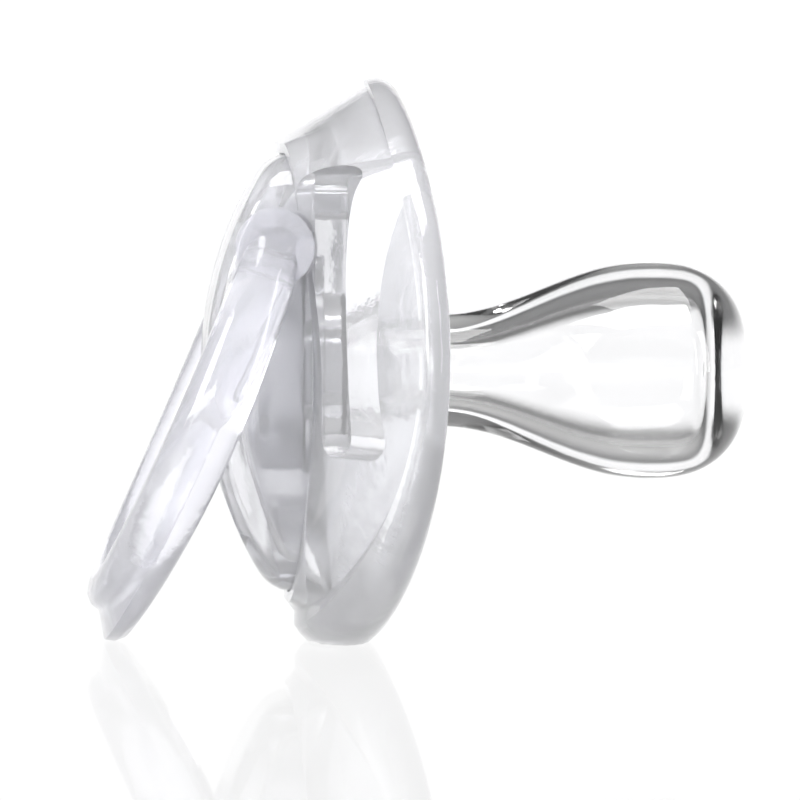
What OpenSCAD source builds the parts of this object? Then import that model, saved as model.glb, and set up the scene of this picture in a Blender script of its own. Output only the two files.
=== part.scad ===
// Clear pacifier with a swinging ring handle.
// The teat points along +X, +Z is up, and the pacifier stands on the foot of
// its shield and on the bottom of its ring. The origin is on the surface it
// stands on, under the middle of the whole object.

/* [Teat] */
// Radius of the bulb at its widest
bulb_r = 8.05; // [7:0.05:8.5]
// Outer radius of the neck
neck_r = 4.15; // [3.6:0.05:4.6]
// Wall of the bulb
bulb_wall = 2.4; // [1.8:0.1:3.2]
// Wall of the neck
neck_wall = 2; // [1.6:0.1:2.4]
// Wall at the tip
tip_wall = 3.1; // [2:0.1:4]
// Distance from the back face of the plate to the end of the teat
teat_reach = 32.6; // [28:0.1:35]
// Distance from the bulb's widest place to the end of the teat
bulb_nose = 7.7; // [6.5:0.1:9]
// Length over which the neck swells into the bulb
swell = 15.2; // [10:0.1:17]
// Radius of the flange that is clamped behind the plate
flange_r = 7.6; // [6.8:0.1:8.6]
// Thickness of the flange
flange_t = 1.6; // [1.2:0.1:2.4]

/* [Shield] */
// Width across the two wings
shield_w = 52; // [46:0.5:60]
// Height from the foot to the top edge
shield_h = 41.8; // [40:0.2:50]
// Height of the teat's axis over the foot
axis_h = 20.05; // [19:0.05:24]
// Thickness of the plate behind the lips
plate_t = 2.4; // [1.8:0.1:3.2]
// How far forward the top edge comes
edge_forward = 6.1; // [4:0.1:8]
// How much further forward the wings come than the top edge
wing_forward = 3.2; // [2:0.1:6]
// Forward lean of the edge from foot to top
edge_lean = 1.3; // [0:0.1:6]
// Thickness of the rolled edge at the wings
edge_wing_t = 2.4; // [2.2:0.1:3.4]
// Thickness of the rolled edge at the top
edge_top_t = 3.6; // [2.6:0.1:4.2]
// Thickness of the rolled edge at the foot
edge_foot_t = 7.2; // [5:0.1:8]
// Depth of the flat ground on the foot
foot_flat = 0.8; // [0.2:0.1:1]
// Width of a vent slot
vent_w = 3.6; // [3.2:0.1:4]

/* [Knob] */
// Height of the knob
knob_h = 32.2; // [30:0.1:33]
// Width of the knob between its side flats
knob_w = 25.2; // [22:0.1:26]
// Radius of the knob's lower corners, seen from behind
knob_corner = 8; // [7:0.5:10]
// Radius of the knob's upper corners, which leave flats for the hinge
knob_shoulder = 4.5; // [3.5:0.5:4.5]
// Height of the knob's straight side
knob_side = 3; // [2:0.1:4]
// Height of the dome over the side
knob_dome = 4.95; // [4:0.05:6]
// Wall of the knob
knob_wall = 2.4; // [1.8:0.1:2.8]
// Radius of the four pegs that hold the knob to the plate
peg_r = 1.3; // [1:0.1:1.6]

/* [Plug] */
// Radius of the plug's head
plug_r = 7.4; // [6.6:0.1:8.4]
// Thickness of the plug's head
plug_t = 3.2; // [1.4:0.1:3.4]
// Radius of the plug's stem
stem_r = 2.6; // [2:0.1:3]
// Length of the plug's stem
stem_l = 5; // [3:0.5:7]

/* [Ring handle] */
// Distance from the hinge line to the middle of the ring's lowest bar
ring_drop = 30; // [28:0.1:33]
// Half of the distance between the middles of the two eyes
eye_y = 14.8; // [14:0.1:16]
// Width of the bar, seen along the ring's axis
bar_w = 3.6; // [3:0.1:4.2]
// Thickness of the bar, across the ring's plane
bar_t = 4.2; // [3.4:0.1:4.8]
// Rounding of the bar's corners
bar_round = 1.5; // [1:0.1:1.7]
// How much thicker the arms are halfway up than at the lowest bar
bar_swell = 0.7; // [0:0.1:1.2]
// How far the lowest bar is deepened towards the hinge
end_deep = 1.4; // [1:0.1:3]
// How far the lowest bar's back edge is cut away
end_cut = 1.8; // [0:0.1:1.9]
// How far the arms bow towards the shield
bow = 0.7; // [0:0.1:1]
// Radius of the eyes
eye_r = 2.85; // [2.5:0.05:3.2]
// Radius of the hinge pins
pin_r = 1.5; // [1.1:0.05:1.8]
// Length of the hinge pins
pin_l = 3.2; // [2:0.1:3.6]
// Height of the hinge line over the teat's axis
hinge_up = 9.4; // [8:0.1:10]

/* [Fits] */
// How much wider the teat's base is than its neck, in radius
base_flare = 0.75; // [0.5:0.05:1]
// Radial gap of a hinge pin in its bore
pin_gap = 0.05; // [0.02:0.01:0.1]
// Gap between an eye and the knob's flat
eye_gap = 0.3; // [0.2:0.05:0.5]
// Gap between parts that are pushed together
push_gap = 0.1; // [0.05:0.05:0.2]

/* [Hidden] */
$fn = 64;

clear_plastic = [0.86, 0.88, 0.91, 0.5];
clear_silicone = [0.93, 0.94, 0.96, 0.55];
clear_handle = [0.84, 0.85, 0.91, 0.5];

// The outline of the shield is an ellipse, and its foot is ground flat.
half_w = shield_w / 2;
half_h = (shield_h + foot_flat) / 2;
outline_up = half_h - foot_flat - axis_h;

// The hinge line runs through the knob's side wall, behind the plate.
hinge_x = -knob_side;
arm_r = (ring_drop * ring_drop - eye_y * eye_y) / (2 * ring_drop);
loop_r = ring_drop - arm_r;

// The ring leans back until its lowest bar touches the surface that the foot stands on.
bar_along = ring_drop + bar_w / 2 - bar_round;
bar_across = bar_t / 2 - bar_round;
bar_reach = norm([bar_along, bar_across]);
ring_lean = atan2(bar_across, bar_along) + acos((axis_h + hinge_up - bar_round) / bar_reach);
ring_back = hinge_x - (bar_along - end_cut) * sin(ring_lean) - bar_across * cos(ring_lean) - bar_round;
centre_x = (teat_reach + ring_back) / 2;

// ---- teat -------------------------------------------------------------

bulb_x = teat_reach - bulb_nose;
swell_x = bulb_x - swell;
bore_r = neck_r + base_flare + push_gap;
flange_x = -flange_t / 2;
cavity_end = teat_reach - tip_wall;
tip_blunt = 2.6;
cavity_blunt = 4.5;
swell_steps = 12;
nose_steps = 18;

// Radius along the swelling from the neck to the bulb.
function swell_r(small, large, f) = small + (large - small) * (1 - cos(180 * f)) / 2;

// Radius along the blunt end, f from 0 at the widest place to 1 at the tip.
function nose_r(large, f, blunt) = large * pow(max(0, 1 - pow(f, blunt)), 1 / blunt);

function teat_outline(small, large, end, blunt) = concat(
    [for (i = [0:swell_steps]) let (f = i / swell_steps)
        [swell_x + swell * f, swell_r(small, large, f)]],
    [for (i = [1:nose_steps]) let (f = sin(90 * i / nose_steps))
        [bulb_x + (end - bulb_x) * f, nose_r(large, f, blunt)]]
);

module along_x() {
    rotate([0, 90, 0]) rotate([0, 0, 90]) children();
}

// Turns a profile given as [distance along X, radius] about the X axis.
module turned(profile) {
    along_x() rotate_extrude() polygon([for (p = profile) [p[1], p[0]]]);
}

module teat() {
    stem_seat_r = stem_r + push_gap;
    stem_end = flange_x + stem_l + push_gap;
    past_end = 1;
    taper = 1.5;
    outer = concat(
        [[flange_x, 0], [flange_x, flange_r], [flange_x + flange_t, flange_r]],
        [[flange_x + flange_t, bore_r - push_gap], [plate_t, bore_r - push_gap]],
        [[plate_t + bore_r - neck_r, neck_r]],
        teat_outline(neck_r, bulb_r, teat_reach, tip_blunt)
    );
    cavity = concat(
        [[flange_x - past_end, 0], [flange_x - past_end, stem_seat_r], [stem_end, stem_seat_r]],
        [[stem_end + taper, neck_r - neck_wall]],
        teat_outline(neck_r - neck_wall, bulb_r - bulb_wall, cavity_end, cavity_blunt)
    );
    color(clear_silicone) difference() {
        turned(outer);
        turned(cavity);
    }
}

// ---- shield -----------------------------------------------------------

around = 72;
across = 8;
roll_steps = 6;
hub_rim = 0.8;

// How far forward the front of the edge is, at angle t round the outline.
function edge_front(t) = edge_forward + wing_forward * pow(cos(t), 2)
    + half_h * sin(t) * tan(edge_lean);

function edge_t(t) = edge_wing_t
    + (sin(t) > 0 ? edge_top_t - edge_wing_t : edge_foot_t - edge_wing_t) * pow(sin(t), 2);

// The point of the knob's outline, grown outwards, that lies at angle t.
function hub_point(t, grow) = let (
        c = abs(cos(t)),
        s = abs(sin(t)),
        w = knob_w / 2 + grow,
        h = knob_h / 2 + grow,
        r = (sin(t) > 0 ? knob_shoulder : knob_corner) + grow,
        near = (w - r) * c + (h - r) * s,
        corner = near + sqrt(max(0, near * near - pow(w - r, 2) - pow(h - r, 2) + r * r)),
        p = s * w <= c * (h - r) ? w / c : c * h <= s * (w - r) ? h / s : corner)
    [p * cos(t), p * sin(t)];

function edge_point(t) = [half_w * cos(t), outline_up + half_h * sin(t)];

function mix(a, b, f) = a + (b - a) * f;

// The back of the shield wraps the knob's side at its top and its foot.
function hub_back(t) = -(knob_side - 0.3) * pow(max(0, sin(t)), 2)
    - (knob_side - 1.1) * pow(min(0, sin(t)), 2);

// One section through the shield's wall at angle t: up the back, over the edge, down the front.
function wall_section(t) = let (
        e = edge_point(t),
        h = hub_point(t, hub_rim),
        g = hub_point(t, -1),
        roll = edge_t(t) / 2,
        out = e / norm(e),
        join = mix(-75, -35, pow(max(0, sin(t)), 2)),
        dip = 1 + 0.8 * pow(cos(t), 2),
        middle = edge_front(t) - roll,
        rim = e - out * roll)
    concat(
        [for (i = [0:across - 1]) let (f = i / across)
            let (p = mix(h, rim + out * roll * cos(join), f))
            [mix(hub_back(t), middle + roll * sin(join), pow(f, dip)), p[0], p[1]]],
        [for (i = [0:roll_steps]) let (q = mix(join, 90, i / roll_steps))
            let (p = rim + out * roll * cos(q))
            [middle + roll * sin(q), p[0], p[1]]],
        [for (i = [1:across]) let (f = i / across)
            let (p = mix(rim - out * roll * 0.25, g, f))
            [mix(middle + roll, plate_t, 1 - pow(1 - f, 0.5 + 0.8 * dip)), p[0], p[1]]]
    );

// The dish: the wall sections joined round the outline, closed by a cap on each side.
module dish() {
    sections = [for (j = [0:around - 1]) wall_section(360 * j / around)];
    n = len(sections[0]);
    back_cap = around * n;
    points = concat([for (s = sections) each s], [[0, 0, 0], [plate_t, 0, 0]]);
    faces = concat(
        [for (j = [0:around - 1], i = [0:n - 2]) let (k = (j + 1) % around)
            each [[j * n + i, k * n + i + 1, k * n + i], [j * n + i, j * n + i + 1, k * n + i + 1]]],
        [for (j = [0:around - 1]) let (k = (j + 1) % around) [back_cap, j * n, k * n]],
        [for (j = [0:around - 1]) let (k = (j + 1) % around)
            [back_cap + 1, k * n + n - 1, j * n + n - 1]]
    );
    polyhedron(points, faces);
}

// Extrudes a shape drawn in the YZ plane along X.
module along_plate(from, to) {
    translate([from, 0, 0]) rotate([90, 0, 90]) linear_extrude(to - from) children();
}

// The upper half of the knob's outline, with corners of radius r. It reaches below the
// middle line, so that the two halves overlap.
module outline_half(w, h, r) {
    below = w / 4;
    translate([-w / 2, -below]) square([w, h / 2 - r + below]);
    translate([r - w / 2, -below]) square([w - 2 * r, h / 2 + below]);
    for (y = [-1, 1]) translate([y * (w / 2 - r), h / 2 - r]) circle(r);
}

module knob_outline(grow) {
    w = knob_w + 2 * grow;
    h = knob_h + 2 * grow;
    outline_half(w, h, knob_shoulder + grow);
    mirror([0, 1]) outline_half(w, h, knob_corner + grow);
}

// A curved slot with round ends, standing beside the knob in the +Y wing.
vent_bend = 60;
vent_y = 17.6;
vent_low = 4;
vent_turn = 17;

module vent_slot() {
    reach = vent_bend + vent_w;
    translate([vent_y - vent_bend, -vent_low]) {
        intersection() {
            difference() {
                circle(vent_bend + vent_w / 2);
                circle(vent_bend - vent_w / 2);
            }
            polygon([[0, 0], [reach, 0], [reach, reach * tan(vent_turn)]]);
        }
        for (a = [0, vent_turn]) rotate(a) translate([vent_bend, 0]) circle(vent_w / 2);
    }
}

// The four pegs go through the plate above and below the teat. Their shoulders run into
// the knob's wall.
shoulder = 0.8;
peg_y = 5.5;
peg_z = knob_h / 2 - knob_wall - peg_r - shoulder / 2;

module at_pegs() {
    for (y = [-peg_y, peg_y], z = [-peg_z, peg_z]) translate([0, y, z]) children();
}

module shield() {
    far = shield_w;
    relief_r = eye_r + eye_gap;
    color(clear_plastic) difference() {
        dish();
        along_plate(-far, 0) knob_outline(push_gap);
        along_plate(-1, far) circle(bore_r);
        along_plate(-1, flange_t / 2) circle(flange_r + push_gap);
        at_pegs() along_plate(-1, far) circle(peg_r + push_gap);
        along_plate(-far, far) vent_slot();
        along_plate(-far, far) mirror([1, 0]) vent_slot();
        translate([hinge_x, 0, hinge_up]) rotate([90, 0, 0])
            cylinder(r = relief_r, h = 2 * (eye_y + bar_w), center = true);
        translate([-far, -far, -axis_h - far]) cube([2 * far, 2 * far, far]);
    }
}

// ---- knob, plug -------------------------------------------------------

dome_r = (knob_h * knob_h / 4 + knob_dome * knob_dome) / (2 * knob_dome);
knob_back = -knob_side - knob_dome;
plug_back = flange_x - plug_t;
press_r = plug_r - 0.4;
press_gap = 0.02;
peg_end = plate_t - 0.2;
bore_end = 0.3;

// The knob's outside, or its hollow when inset by its wall.
module knob_form(inset) {
    intersection() {
        along_plate(knob_back - knob_wall, inset > 0 ? knob_wall : 0) knob_outline(-inset);
        translate([knob_back + dome_r, 0, 0]) rotate([90, 0, 0])
            cylinder(r = dome_r - inset, h = 2 * knob_w, center = true, $fn = 128);
    }
}

module knob() {
    boss_r = eye_r;
    boss_from = knob_w / 2 - pin_l - shoulder;
    color(clear_plastic) {
        difference() {
            union() {
                difference() {
                    knob_form(0);
                    knob_form(knob_wall);
                }
                intersection() {
                    knob_form(knob_wall / 2);
                    union() {
                        along_plate(knob_back, plug_back - press_gap) circle(press_r);
                        at_pegs() along_plate(knob_back, 0) circle(peg_r + shoulder);
                        for (side = [-1, 1])
                            translate([hinge_x, side * (boss_from + knob_w / 2) / 2, hinge_up])
                                rotate([90, 0, 0])
                                cylinder(r = boss_r, h = knob_w / 2 - boss_from, center = true);
                    }
                }
                at_pegs() along_plate(-shoulder, peg_end) circle(peg_r);
            }
            for (side = [-1, 1])
                translate([hinge_x, side * knob_w / 2, hinge_up]) rotate([90, 0, 0])
                    cylinder(r = pin_r + pin_gap, h = 2 * (pin_l - eye_gap + bore_end), center = true);
        }
    }
}

module retaining_plug() {
    cup_r = 3.6;
    cup_deep = 0.8;
    bevel = 0.6;
    stem_end = flange_x + stem_l;
    color(clear_plastic) turned([
        [plug_back + cup_deep, 0], [plug_back + cup_deep, cup_r], [plug_back, cup_r],
        [plug_back, plug_r], [flange_x, plug_r], [flange_x, stem_r],
        [stem_end - bevel, stem_r], [stem_end, stem_r - bevel], [stem_end, 0]
    ]);
}

// ---- ring handle ------------------------------------------------------

ring_steps = 48;
corner_steps = 3;
eye_in = knob_w / 2 + eye_gap;
open_turn = acos(-arm_r / loop_r);

// The bar's section as [along the ring's radius, across the ring's plane].
bar_section = [for (c = [0:3], i = [0:corner_steps])
    let (a = 90 * c + 90 * i / corner_steps)
    let (w = bar_w / 2 - bar_round, t = bar_t / 2 - bar_round)
    [(c == 0 || c == 3 ? w : -w) + bar_round * cos(a),
     (c < 2 ? t : -t) + bar_round * sin(a)]];

// A point of the ring hanging straight down from the hinge line, at turn a from its lowest bar.
// Towards the lowest bar it deepens inwards, and its back outer edge is cut away.
function ring_point(a, q) = let (
        drop = arm_r + loop_r * cos(a),
        halfway = 4 * (drop / ring_drop) * (1 - drop / ring_drop),
        low = pow(max(0, cos(a)), 3),
        cut = q[0] < 0 ? end_deep : q[1] < 0 ? end_cut : 0,
        r = loop_r + q[0] - cut * low)
    [q[1] * (1 + halfway * bar_swell / bar_t) + bow * halfway,
     r * sin(a), -(arm_r + r * cos(a))];

module ring_bar() {
    n = len(bar_section);
    turns = [for (i = [0:ring_steps]) open_turn * (2 * i / ring_steps - 1)];
    points = [for (a = turns, q = bar_section) ring_point(a, q)];
    faces = concat(
        [for (i = [0:ring_steps - 1], j = [0:n - 1]) let (k = (j + 1) % n)
            each [[i * n + j, i * n + k, (i + 1) * n + k], [i * n + j, (i + 1) * n + k, (i + 1) * n + j]]],
        [[for (j = [n - 1:-1:0]) j]],
        [[for (j = [0:n - 1]) ring_steps * n + j]]
    );
    polyhedron(points, faces);
}

module ring_handle() {
    trimmed = 2 * eye_r + bar_w;
    root = 1;
    color(clear_handle) translate([hinge_x, 0, hinge_up]) rotate([0, ring_lean, 0]) {
        difference() {
            ring_bar();
            cube([2 * bar_t, 2 * eye_in, 2 * trimmed], center = true);
        }
        for (side = [-1, 1]) {
            translate([0, side * (eye_in + bar_w / 2), 0]) rotate([90, 0, 0])
                cylinder(r = eye_r, h = bar_w, center = true);
            translate([0, side * (eye_in + (root - pin_l) / 2), 0]) rotate([90, 0, 0])
                cylinder(r = pin_r, h = pin_l + root, center = true);
        }
    }
}

module placed() {
    translate([-centre_x, 0, axis_h]) children();
}

placed() shield();
placed() teat();
placed() retaining_plug();
placed() knob();
placed() ring_handle();
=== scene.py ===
import bpy
import bmesh
import math
from mathutils import Matrix, Vector


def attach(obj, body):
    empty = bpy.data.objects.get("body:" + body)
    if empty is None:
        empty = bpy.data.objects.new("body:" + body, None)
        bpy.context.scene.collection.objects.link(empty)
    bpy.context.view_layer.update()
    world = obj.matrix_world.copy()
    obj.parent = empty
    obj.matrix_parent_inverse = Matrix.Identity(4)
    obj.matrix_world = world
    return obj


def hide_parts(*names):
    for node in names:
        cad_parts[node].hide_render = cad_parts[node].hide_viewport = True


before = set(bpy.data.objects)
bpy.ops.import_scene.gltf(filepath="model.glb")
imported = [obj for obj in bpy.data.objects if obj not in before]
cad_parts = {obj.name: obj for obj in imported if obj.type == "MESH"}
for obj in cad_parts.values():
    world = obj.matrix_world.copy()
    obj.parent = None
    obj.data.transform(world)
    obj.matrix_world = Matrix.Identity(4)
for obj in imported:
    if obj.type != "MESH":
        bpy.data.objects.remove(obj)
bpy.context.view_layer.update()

# Sizes are in millimetres from the middle of the plate's back face, along the teat (X),
# to the side (Y) and up (Z), and are turned into metres only when a piece is made.
MM = 0.001
CENTRE_X = 8.008
AXIS_H = 20.05


def place(v):
    return Vector(((v[0] - CENTRE_X) * MM, v[1] * MM, (v[2] + AXIS_H) * MM))


# ---------------------------------------------------------------- camera and light

scene = bpy.context.scene
scene.view_settings.view_transform = "Standard"
scene.view_settings.look = "None"

VIEW_TURN = math.radians(2.3)
VIEW_RISE = math.radians(2.0)
VIEW_FAR = 0.60
VIEW_WIDE = 0.0595
aim = Vector((-0.00131, 0.0, 0.01785))
cam_data = bpy.data.cameras.new("camera")
cam_data.sensor_width = 36
cam_data.lens = 36 * VIEW_FAR / VIEW_WIDE
cam_data.clip_start = 0.01
cam_data.clip_end = 20
cam = bpy.data.objects.new("camera", cam_data)
scene.collection.objects.link(cam)
back = Vector((-math.sin(VIEW_TURN) * math.cos(VIEW_RISE),
               -math.cos(VIEW_TURN) * math.cos(VIEW_RISE), math.sin(VIEW_RISE)))
cam.location = aim + back * VIEW_FAR
cam.rotation_euler = (-back).to_track_quat("-Z", "Y").to_euler()
scene.camera = cam


def node(tree, kind, where=(0, 0), **values):
    made = tree.nodes.new(kind)
    made.location = where
    for key, value in values.items():
        setattr(made, key, value)
    return made


# The room: white at eye level and brightest behind the object, greyer overhead, underneath
# and at the sides, so that clear walls pick up grey where they bend the light steeply.
world = bpy.data.worlds.new("room")
scene.world = world
world.use_nodes = True
wt = world.node_tree
wt.nodes.clear()
w_out = node(wt, "ShaderNodeOutputWorld", (600, 0))
w_bg = node(wt, "ShaderNodeBackground", (400, 0))
w_coord = node(wt, "ShaderNodeTexCoord", (-600, 0))
w_split = node(wt, "ShaderNodeSeparateXYZ", (-400, 0))
w_map = node(wt, "ShaderNodeMapRange", (-200, 0))
w_ramp = node(wt, "ShaderNodeValToRGB", (50, 0))
w_map.inputs["From Min"].default_value = -1
w_map.inputs["From Max"].default_value = 1
wt.links.new(w_coord.outputs["Generated"], w_split.inputs[0])
wt.links.new(w_split.outputs["Z"], w_map.inputs["Value"])
wt.links.new(w_map.outputs["Result"], w_ramp.inputs["Fac"])
ramp = w_ramp.color_ramp
ramp.interpolation = "EASE"
stops = [(0.0, 0.85), (0.30, 0.24), (0.41, 1.0), (0.59, 1.0), (0.68, 0.16), (0.86, 0.25), (1.0, 0.6)]
ramp.elements[0].position, ramp.elements[0].color = stops[0][0], (stops[0][1],) * 3 + (1,)
ramp.elements[1].position, ramp.elements[1].color = stops[-1][0], (stops[-1][1],) * 3 + (1,)
for place_at, grey in stops[1:-1]:
    stop = ramp.elements.new(place_at)
    stop.color = (grey, grey, grey * 1.01, 1)
w_side = node(wt, "ShaderNodeMapRange", (50, -250))
w_side.inputs["From Min"].default_value = 0.40
w_side.inputs["From Max"].default_value = 0.95
w_side.inputs["To Min"].default_value = 0.56
w_side.inputs["To Max"].default_value = 1.12
wt.links.new(w_split.outputs["Y"], w_side.inputs["Value"])
wt.links.new(w_side.outputs["Result"], w_bg.inputs["Strength"])
wt.links.new(w_ramp.outputs["Color"], w_bg.inputs["Color"])
wt.links.new(w_bg.outputs["Background"], w_out.inputs["Surface"])


def soft_light(name, where, size, power, target=(0, 0, 0.02)):
    data = bpy.data.lights.new(name, "AREA")
    data.shape = "RECTANGLE"
    data.size, data.size_y = size
    data.energy = power
    lamp = bpy.data.objects.new(name, data)
    scene.collection.objects.link(lamp)
    lamp.location = where
    lamp.visible_camera = False
    lamp.rotation_euler = (Vector(target) - Vector(where)).to_track_quat("-Z", "Y").to_euler()
    return lamp


soft_light("top_softbox", (0.05, -0.10, 0.75), (0.55, 0.40), 6.5)
soft_light("front_left_softbox", (-0.55, -0.55, 0.35), (0.30, 0.55), 6.0)
soft_light("low_front_fill", (-0.30, -0.60, 0.06), (0.40, 0.10), 0.9)
soft_light("front_right_strip", (0.60, -0.45, 0.25), (0.10, 0.60), 1.2)

# The floor is white and faintly glossy.
bm = bmesh.new()
bmesh.ops.create_circle(bm, cap_ends=True, segments=96, radius=3.0)
floor_mesh = bpy.data.meshes.new("floor")
bm.to_mesh(floor_mesh)
bm.free()
floor = bpy.data.objects.new("floor", floor_mesh)
scene.collection.objects.link(floor)
floor_mat = bpy.data.materials.new("pale_floor")
floor_mat.use_nodes = True
ft = floor_mat.node_tree
ft.nodes.clear()
f_out = node(ft, "ShaderNodeOutputMaterial", (600, 0))
f_mix = node(ft, "ShaderNodeMixShader", (400, 0))
f_glow = node(ft, "ShaderNodeEmission", (100, 100))
f_gloss = node(ft, "ShaderNodeBsdfGlossy", (100, -100))
f_glow.inputs["Color"].default_value = (1, 1, 1, 1)
f_glow.inputs["Strength"].default_value = 1.0
f_gloss.inputs["Color"].default_value = (1, 1, 1, 1)
f_gloss.inputs["Roughness"].default_value = 0.03
f_mix.inputs["Fac"].default_value = 0.18
ft.links.new(f_glow.outputs[0], f_mix.inputs[1])
ft.links.new(f_gloss.outputs[0], f_mix.inputs[2])
ft.links.new(f_mix.outputs[0], f_out.inputs["Surface"])
floor_mesh.materials.append(floor_mat)
floor.visible_transmission = False

# ---------------------------------------------------------------- materials


def clear_material(name, tint, ior, rough, haze, grain, bump, streak):
    """A clear moulded material: rough is its roughness range, haze how milky it is."""
    mat = bpy.data.materials.new(name)
    mat.use_nodes = True
    t = mat.node_tree
    bsdf = t.nodes["Principled BSDF"]
    coord = node(t, "ShaderNodeTexCoord", (-1200, 0))
    fine = node(t, "ShaderNodeTexNoise", (-900, 200))
    fine.inputs["Scale"].default_value = grain
    fine.inputs["Detail"].default_value = 5
    broad = node(t, "ShaderNodeTexNoise", (-900, -100))
    broad.inputs["Scale"].default_value = 130
    broad.inputs["Detail"].default_value = 2
    stretch = node(t, "ShaderNodeMapping", (-1050, -350))
    stretch.inputs["Scale"].default_value = streak
    flow = node(t, "ShaderNodeTexNoise", (-900, -350))
    flow.inputs["Scale"].default_value = 300
    flow.inputs["Detail"].default_value = 3
    t.links.new(coord.outputs["Object"], fine.inputs["Vector"])
    t.links.new(coord.outputs["Object"], broad.inputs["Vector"])
    t.links.new(coord.outputs["Object"], stretch.inputs["Vector"])
    t.links.new(stretch.outputs["Vector"], flow.inputs["Vector"])
    rough_range = node(t, "ShaderNodeMapRange", (-600, 200))
    rough_range.inputs["From Min"].default_value = 0.3
    rough_range.inputs["From Max"].default_value = 0.7
    rough_range.inputs["To Min"].default_value = rough[0]
    rough_range.inputs["To Max"].default_value = rough[1]
    t.links.new(broad.outputs["Fac"], rough_range.inputs["Value"])
    t.links.new(rough_range.outputs["Result"], bsdf.inputs["Roughness"])
    shade = node(t, "ShaderNodeValToRGB", (-600, -50))
    shade.color_ramp.elements[0].position = 0.3
    shade.color_ramp.elements[1].position = 0.7
    shade.color_ramp.elements[0].color = tuple(c * 0.965 for c in tint) + (1,)
    shade.color_ramp.elements[1].color = tuple(tint) + (1,)
    t.links.new(broad.outputs["Fac"], shade.inputs["Fac"])
    t.links.new(shade.outputs["Color"], bsdf.inputs["Base Color"])
    total = node(t, "ShaderNodeMath", (-600, -350), operation="MULTIPLY_ADD")
    total.inputs[1].default_value = 1.3
    t.links.new(flow.outputs["Fac"], total.inputs[0])
    t.links.new(fine.outputs["Fac"], total.inputs[2])
    relief = node(t, "ShaderNodeBump", (-300, -350))
    relief.inputs["Strength"].default_value = bump
    relief.inputs["Distance"].default_value = 0.00012
    t.links.new(total.outputs[0], relief.inputs["Height"])
    t.links.new(relief.outputs["Normal"], bsdf.inputs["Normal"])
    bsdf.inputs["Transmission Weight"].default_value = 1 - haze
    bsdf.inputs["IOR"].default_value = ior
    bsdf.inputs["Specular IOR Level"].default_value = 0.5
    return mat


plastic = clear_material("clear_plastic", (0.95, 0.952, 0.975), 1.45, (0.05, 0.13), 0.24,
                         900, 0.30, (1.0, 1.0, 0.1))
handle = clear_material("handle_plastic", (0.925, 0.925, 0.97), 1.45, (0.05, 0.13), 0.24,
                        900, 0.30, (1.0, 1.0, 0.1))
silicone = clear_material("clear_silicone", (0.995, 0.995, 0.995), 1.41, (0.02, 0.05), 0.01,
                          700, 0.06, (0.2, 1.0, 1.0))

# ---------------------------------------------------------------- shapes


def make_piece(name, bm, mat, body, smooth_angle=40):
    bmesh.ops.remove_doubles(bm, verts=bm.verts, dist=1e-7)
    bmesh.ops.recalc_face_normals(bm, faces=bm.faces)
    mesh = bpy.data.meshes.new(name)
    for f in bm.faces:
        f.smooth = True
    for e in bm.edges:
        e.smooth = not (len(e.link_faces) == 2
                        and e.calc_face_angle(0) > math.radians(smooth_angle))
    bm.to_mesh(mesh)
    bm.free()
    mesh.materials.append(mat)
    piece = bpy.data.objects.new(name, mesh)
    scene.collection.objects.link(piece)
    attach(piece, body)
    return piece


def turned(profile, steps):
    """Spins a profile of (X, radius) round the teat's axis."""
    bm = bmesh.new()
    ring = [bm.verts.new(place((x, 0, r))) for x, r in profile]
    edges = [bm.edges.new((a, b)) for a, b in zip(ring, ring[1:])]
    bmesh.ops.spin(bm, geom=ring + edges, cent=place((0, 0, 0)), axis=(1, 0, 0),
                   angle=2 * math.pi, steps=steps, use_merge=True)
    return bm


# The teat: flange, neck, swelling and blunt bulb, with its hollow.
PLATE = 2.4
BULB_R, NECK_R = 8.05, 4.15
BULB_WALL, NECK_WALL, TIP_WALL = 2.4, 2.0, 3.1
REACH, NOSE, SWELL = 32.6, 7.7, 15.2
BULB_X = REACH - NOSE
SWELL_X = BULB_X - SWELL
BASE_R = 4.9
FLANGE_R = 7.6
CAVITY_BLUNT, TIP_BLUNT = 4.5, 2.6


def swell_r(small, large, f):
    return small + (large - small) * (1 - math.cos(math.pi * f)) / 2


def nose_r(large, f, blunt):
    return large * max(0.0, 1 - f ** blunt) ** (1 / blunt)


def teat_curve(small, large, end, blunt, steps=28):
    pts = [(SWELL_X + SWELL * i / steps, swell_r(small, large, i / steps)) for i in range(steps + 1)]
    for i in range(1, steps + 1):
        f = math.sin(math.pi / 2 * i / steps)
        pts.append((BULB_X + (end - BULB_X) * f, nose_r(large, f, blunt)))
    return pts


inner = teat_curve(NECK_R - NECK_WALL, BULB_R - BULB_WALL, REACH - TIP_WALL, CAVITY_BLUNT)
outer = teat_curve(NECK_R, BULB_R, REACH, TIP_BLUNT)
STEM_BORE, FLANGE_BACK, FLANGE_FRONT = 2.7, -0.8, 0.8
edge = 0.25
profile = list(reversed(inner))
profile += [(5.8, NECK_R - NECK_WALL), (4.35, STEM_BORE - 0.02), (4.2, STEM_BORE),
            (FLANGE_BACK + 0.2, STEM_BORE), (FLANGE_BACK, STEM_BORE + 0.2)]
profile += [(FLANGE_BACK, FLANGE_R - edge), (FLANGE_BACK + edge * 0.3, FLANGE_R - edge * 0.3),
            (FLANGE_BACK + edge, FLANGE_R)]
profile += [(FLANGE_FRONT - edge, FLANGE_R), (FLANGE_FRONT - edge * 0.3, FLANGE_R - edge * 0.3),
            (FLANGE_FRONT, FLANGE_R - edge)]
profile += [(FLANGE_FRONT, BASE_R + 0.1), (FLANGE_FRONT + 0.05, BASE_R), (PLATE, BASE_R),
            (PLATE + 0.3, BASE_R - 0.12), (PLATE + 0.75, NECK_R + 0.2), (PLATE + 1.15, NECK_R)]
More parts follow.
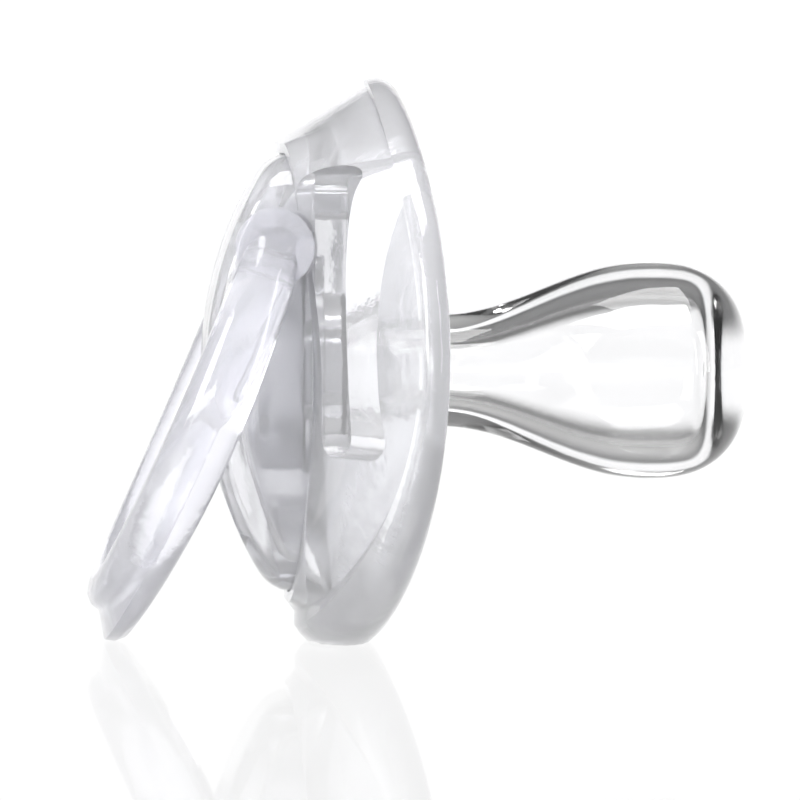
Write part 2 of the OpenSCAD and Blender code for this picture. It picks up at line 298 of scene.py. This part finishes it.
# A faint gate mark sits in the middle of the tip.
profile += outer[:-1]
profile = [p for p in profile if not (p[0] > REACH - 0.4 and p[1] < 0.9)]
profile += [(REACH - 0.01, 0.6), (REACH - 0.05, 0.45), (REACH - 0.06, 0.3), (REACH - 0.02, 0.15),
            (REACH - 0.02, 0.0)]
teat = make_piece("teat_moulding", turned(profile, 128), silicone, "body")
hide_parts("teat")


def copy_of(node_name, name, mat, body, smooth_angle=35):
    """A welded copy of a CAD node."""
    bm = bmesh.new()
    bm.from_mesh(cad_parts[node_name].data)
    bmesh.ops.remove_doubles(bm, verts=bm.verts, dist=2e-6)
    bmesh.ops.dissolve_limit(bm, angle_limit=math.radians(0.8), verts=bm.verts, edges=bm.edges)
    piece = make_piece(name, bm, mat, body, smooth_angle)
    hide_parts(node_name)
    return piece


# The knob: a hollow dome on a rounded outline, its edges rolled over, with a press boss in
# the middle, hinge bosses at its sides and four pegs.
KNOB_W, KNOB_H = 25.2, 32.2
KNOB_SIDE, KNOB_DOME, KNOB_WALL = 3.0, 4.95, 2.4
SHOULDER_R, CORNER_R = 4.5, 8.0
DOME_R = (KNOB_H ** 2 / 4 + KNOB_DOME ** 2) / (2 * KNOB_DOME)
KNOB_BACK = -KNOB_SIDE - KNOB_DOME
HINGE_UP = 9.4
EYE_R, PIN_R, PIN_GAP = 2.85, 1.5, 0.06
BOSS_INNER_Y, BORE_INNER_Y = 8.6, 9.35


def outline_at(t, grow):
    """The point of the knob's outline, grown outwards, at angle t."""
    c, s = abs(math.cos(t)), abs(math.sin(t))
    w, h = KNOB_W / 2 + grow, KNOB_H / 2 + grow
    r = max(0.4, (SHOULDER_R if math.sin(t) > 0 else CORNER_R) + grow)
    near = (w - r) * c + (h - r) * s
    if s * w <= c * (h - r):
        p = w / c
    elif c * h <= s * (w - r):
        p = h / s
    else:
        p = near + math.sqrt(max(0.0, near * near - (w - r) ** 2 - (h - r) ** 2 + r * r))
    return p * math.cos(t), p * math.sin(t)


def dome_x(z, wall):
    r = DOME_R - wall
    return KNOB_BACK + DOME_R - math.sqrt(max(0.0, r * r - z * z))


def joined(loops, count, closed=False):
    """A circle moved by the first rule, then extruded and moved by each next rule."""
    bm = bmesh.new()
    ring = bmesh.ops.create_circle(bm, segments=count, radius=1.0)["verts"]
    number = {}
    for i, v in enumerate(ring):
        v.co = place(loops[0](2 * math.pi * i / count))
        number[v] = i
    edges = list(bm.edges)
    ends = list(edges)
    for rule in loops[1:] + (loops[:1] if closed else []):
        grown = bmesh.ops.extrude_edge_only(bm, edges=edges)["geom"]
        fresh = {g for g in grown if isinstance(g, bmesh.types.BMVert)}
        for v in fresh:
            near = [e.other_vert(v) for e in v.link_edges]
            number[v] = next(number[o] for o in near if o not in fresh)
        for v in fresh:
            v.co = place(rule(2 * math.pi * number[v] / count))
        touching = {e for v in fresh for e in v.link_edges}
        edges = [e for e in touching if e.verts[0] in fresh and e.verts[1] in fresh]
    if not closed:
        bmesh.ops.holes_fill(bm, edges=ends + edges, sides=count)
    return bm


def knob_loop(grow, sink, wall=0.0, share=1.0, flat_x=None):
    def rule(t):
        y, z = outline_at(t, grow)
        y, z = y * share, z * share
        return (flat_x if flat_x is not None else dome_x(z, wall) + sink, y, z)
    return rule


def round_loop(r, x=None, wall=KNOB_WALL):
    def rule(t):
        y, z = r * math.cos(t), r * math.sin(t)
        return (x if x is not None else dome_x(z, wall), y, z)
    return rule


ROLL = 1.3
INNER_ROLL = 0.7
PRESS_R = 7.0
PLUG_BACK = -4.0
knob_loops = [knob_loop(-0.15, 0, flat_x=-0.02), knob_loop(0, 0, flat_x=-0.17), knob_loop(0, 0, flat_x=-0.9)]
for i in range(7):
    a = math.pi / 2 * i / 6
    knob_loops.append(knob_loop(-ROLL * (1 - math.cos(a)), ROLL * (1 - math.sin(a))))
for share in (0.93, 0.82, 0.68, 0.52, 0.34, 0.17):
    knob_loops.append(knob_loop(-ROLL, 0, share=share))
inner_loops = [knob_loop(-KNOB_WALL + 0.15, 0, flat_x=-0.02), knob_loop(-KNOB_WALL, 0, flat_x=-0.17)]
for i in range(5):
    a = math.pi / 2 * i / 4
    inner_loops.append(knob_loop(-KNOB_WALL - INNER_ROLL * (1 - math.cos(a)),
                                 INNER_ROLL * (1 - math.sin(a)), wall=KNOB_WALL))
inner_loops += [round_loop(PRESS_R + 0.35), round_loop(PRESS_R),
                round_loop(PRESS_R, x=PLUG_BACK - 0.25), round_loop(PRESS_R - 0.2, x=PLUG_BACK - 0.05),
                round_loop(PRESS_R * 0.6, x=PLUG_BACK - 0.05), round_loop(PRESS_R * 0.25, x=PLUG_BACK - 0.05)]
knob_bm = joined(list(reversed(knob_loops)) + inner_loops, 144)
knob = make_piece("knob_moulding", knob_bm, plastic, "body", 40)


def cylinder_y(bm, r, y0, y1, x, z, steps=48):
    made = bmesh.ops.create_cone(bm, cap_ends=True, segments=steps, radius1=r * MM, radius2=r * MM,
                                 depth=abs(y1 - y0) * MM)["verts"]
    turn = Matrix.Rotation(math.pi / 2, 4, "X")
    move = Matrix.Translation(place((x, (y0 + y1) / 2, z)))
    bmesh.ops.transform(bm, matrix=move @ turn, verts=made)


def peg(bm, y, z):
    """A shouldered peg with an eased end, spun from its profile."""
    root = dome_x(abs(z), KNOB_WALL) - PEG_ROOT
    sides = [(root, 0), (root, PEG_R + PEG_SHOULDER), (0, PEG_R + PEG_SHOULDER), (0, PEG_R),
             (PEG_END - PEG_EASE, PEG_R), (PEG_END, PEG_R - PEG_EASE), (PEG_END, 0)]
    ring = [bm.verts.new(place((x, y, z + r))) for x, r in sides]
    edges = [bm.edges.new((a, b)) for a, b in zip(ring, ring[1:])]
    bmesh.ops.spin(bm, geom=ring + edges, cent=place((0, y, z)), axis=(1, 0, 0),
                   angle=2 * math.pi, steps=40, use_merge=True)
    bmesh.ops.remove_doubles(bm, verts=bm.verts, dist=1e-7)


def worked(piece, tool_bm, operation):
    """Joins or cuts a piece with a tool shape and keeps the result as its mesh."""
    tool_mesh = bpy.data.meshes.new("tool")
    bmesh.ops.recalc_face_normals(tool_bm, faces=tool_bm.faces)
    tool_bm.to_mesh(tool_mesh)
    tool_bm.free()
    tool = bpy.data.objects.new("tool", tool_mesh)
    scene.collection.objects.link(tool)
    cut = piece.modifiers.new("cut", "BOOLEAN")
    cut.operation = operation
    cut.solver = "EXACT"
    cut.object = tool
    bpy.context.view_layer.update()
    done = bpy.data.meshes.new_from_object(piece.evaluated_get(bpy.context.evaluated_depsgraph_get()))
    piece.modifiers.clear()
    piece.data = done
    done.set_sharp_from_angle(angle=math.radians(36))
    bpy.data.objects.remove(tool)
    bpy.data.meshes.remove(tool_mesh)


boss_bm = bmesh.new()
for side in (-1, 1):
    cylinder_y(boss_bm, EYE_R, side * BOSS_INNER_Y, side * (KNOB_W / 2 - 1.2), -KNOB_SIDE - 0.02, HINGE_UP)
worked(knob, boss_bm, "UNION")
PEG_R, PEG_SHOULDER, PEG_Y, PEG_END = 1.3, 0.8, 5.5, PLATE - 0.2
PEG_ROOT, PEG_EASE = 0.6, 0.25
PEG_Z = KNOB_H / 2 - KNOB_WALL - PEG_R - PEG_SHOULDER / 2
peg_bm = bmesh.new()
for side in (-1, 1):
    for up in (-PEG_Z, PEG_Z):
        peg(peg_bm, side * PEG_Y, up)
worked(knob, peg_bm, "UNION")
bore_bm = bmesh.new()
for side in (-1, 1):
    cylinder_y(bore_bm, PIN_R + PIN_GAP, side * BORE_INNER_Y, side * (KNOB_W / 2 + 2), -KNOB_SIDE, HINGE_UP)
worked(knob, bore_bm, "DIFFERENCE")
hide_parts("knob")

# The shield: a dished oval wall with a beaded rim, a recess for the knob, a bore and a seat
# for the teat, two curved vents, four peg holes and a relief for the hinge.
SHIELD_W, SHIELD_H, FOOT_FLAT = 52.0, 41.8, 0.8
EDGE_FORWARD, WING_FORWARD, EDGE_LEAN = 6.1, 3.2, math.radians(1.3)
EDGE_WING_T, EDGE_TOP_T, EDGE_FOOT_T = 2.4, 3.6, 7.2
HUB_RIM, PUSH_GAP = 0.8, 0.1
HALF_W, HALF_H = SHIELD_W / 2, (SHIELD_H + FOOT_FLAT) / 2
OUTLINE_UP = HALF_H - FOOT_FLAT - AXIS_H
BORE_R = 5.0


def mix(a, b, f):
    return a + (b - a) * f


def wall_at(t):
    """The edge of the shield at angle t: its rim centre, its roll radius and its slopes."""
    s, c = math.sin(t), math.cos(t)
    front = EDGE_FORWARD + WING_FORWARD * c * c + HALF_H * s * math.tan(EDGE_LEAN)
    thick = EDGE_WING_T + ((EDGE_TOP_T if s > 0 else EDGE_FOOT_T) - EDGE_WING_T) * s * s
    e = Vector((HALF_W * c, OUTLINE_UP + HALF_H * s))
    roll = thick / 2
    out = e.normalized()
    join = math.radians(mix(-75, -35, max(0.0, s) ** 2))
    return e - out * roll, out, roll, front - roll, join, 1 + 0.8 * c * c


def hub_back(t):
    s = math.sin(t)
    return -(KNOB_SIDE - 0.3) * max(0.0, s) ** 2 - (KNOB_SIDE - 1.1) * min(0.0, s) ** 2


def grounded(x, y, z):
    return (x, y, max(z, -AXIS_H + 0.005))


def back_row(f):
    def rule(t):
        rim, out, roll, middle, join, dip = wall_at(t)
        h = Vector(outline_at(t, HUB_RIM))
        p = h.lerp(rim + out * (roll * math.cos(join) - RIM_STEP), f)
        return grounded(mix(hub_back(t), middle + roll * math.sin(join) + RIM_STEP, f ** dip), p.x, p.y)
    return rule


BEAD = math.radians(132)
RIM_STEP = 0.3


def roll_row(f):
    def rule(t):
        rim, out, roll, middle, join, dip = wall_at(t)
        q = mix(join, mix(BEAD, math.radians(95), max(0.0, -math.sin(t)) ** 2), f)
        p = rim + out * roll * math.cos(q)
        return grounded(middle + roll * math.sin(q), p.x, p.y)
    return rule


def front_row(f):
    def rule(t):
        rim, out, roll, middle, join, dip = wall_at(t)
        q = mix(BEAD, math.radians(95), max(0.0, -math.sin(t)) ** 2)
        start = rim + out * roll * (math.cos(q) - 0.12)
        p = start.lerp(Vector(outline_at(t, -1)), f)
        return grounded(mix(middle + roll * math.sin(q), PLATE, 1 - (1 - f) ** (0.5 + 0.8 * dip)), p.x, p.y)
    return rule


def hub_row(grow, x=None):
    def rule(t):
        y, z = outline_at(t, grow)
        return (hub_back(t) if x is None else x, y, z)
    return rule


shield_rows = [hub_row(PUSH_GAP, 0.0), hub_row(PUSH_GAP)]
shield_rows += [back_row(i / 14) for i in range(15)]
shield_rows += [roll_row(i / 14) for i in range(1, 15)]
shield_rows += [front_row(0.01)] + [front_row(i / 14) for i in range(1, 15)]
shield_rows += [round_loop(BORE_R + 0.3, x=PLATE), round_loop(BORE_R, x=PLATE - 0.3),
                round_loop(BORE_R, x=0.8),
                round_loop(FLANGE_R + 0.1, x=0.8), round_loop(FLANGE_R + 0.1, x=0.0)]
shield = make_piece("shield_moulding", joined(shield_rows, 180, closed=True), plastic,
                    "body", 38)


def cylinder_x(bm, r, x0, x1, y, z, steps=40):
    made = bmesh.ops.create_cone(bm, cap_ends=True, segments=steps, radius1=r * MM, radius2=r * MM,
                                 depth=abs(x1 - x0) * MM)["verts"]
    turn = Matrix.Rotation(math.pi / 2, 4, "Y")
    move = Matrix.Translation(place(((x0 + x1) / 2, y, z)))
    bmesh.ops.transform(bm, matrix=move @ turn, verts=made)


VENT_W, VENT_BEND, VENT_Y, VENT_LOW, VENT_TURN = 3.6, 60.0, 17.6, 4.0, math.radians(17)


def vent_tool(bm, side):
    """A slot bent round a far centre, with round ends, made from one circle and extruded."""
    count, ends = 96, 24
    sides = (count - 2 * ends) // 2
    made = bmesh.ops.create_circle(bm, cap_ends=True, segments=count, radius=1.0)["verts"]
    for i, v in enumerate(made):
        if i < ends:
            at, a = 0.0, math.pi + math.pi * (i + 0.5) / ends
        elif i < ends + sides:
            at, a = VENT_TURN * (i - ends + 0.5) / sides, 0.0
        elif i < 2 * ends + sides:
            at, a = VENT_TURN, math.pi * (i - ends - sides + 0.5) / ends
        else:
            at, a = VENT_TURN * (1 - (i - 2 * ends - sides + 0.5) / sides), math.pi
        along, across = VENT_W / 2 * math.sin(a), VENT_BEND + VENT_W / 2 * math.cos(a)
        y = VENT_Y - VENT_BEND + across * math.cos(at) - along * math.sin(at)
        z = -VENT_LOW + across * math.sin(at) + along * math.cos(at)
        v.co = place((-4, side * y, z))
    face = made[0].link_faces[0]
    grown = bmesh.ops.extrude_face_region(bm, geom=[face])["geom"]
    bmesh.ops.translate(bm, vec=(0.018, 0, 0), verts=[g for g in grown if isinstance(g, bmesh.types.BMVert)])


cut_bm = bmesh.new()
for side in (-1, 1):
    vent_tool(cut_bm, side)
    for up in (-PEG_Z, PEG_Z):
        cylinder_x(cut_bm, PEG_R + 0.1, -1, 6, side * PEG_Y, up)
worked(shield, cut_bm, "DIFFERENCE")
relief_bm = bmesh.new()
cylinder_y(relief_bm, EYE_R + 0.3, -18.4, 18.4, -KNOB_SIDE, HINGE_UP, 64)
worked(shield, relief_bm, "DIFFERENCE")
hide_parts("shield")

plug = copy_of("retaining_plug", "retaining_plug_moulding", plastic, "body")
ring = copy_of("ring_handle", "ring_moulding", handle, "ring")
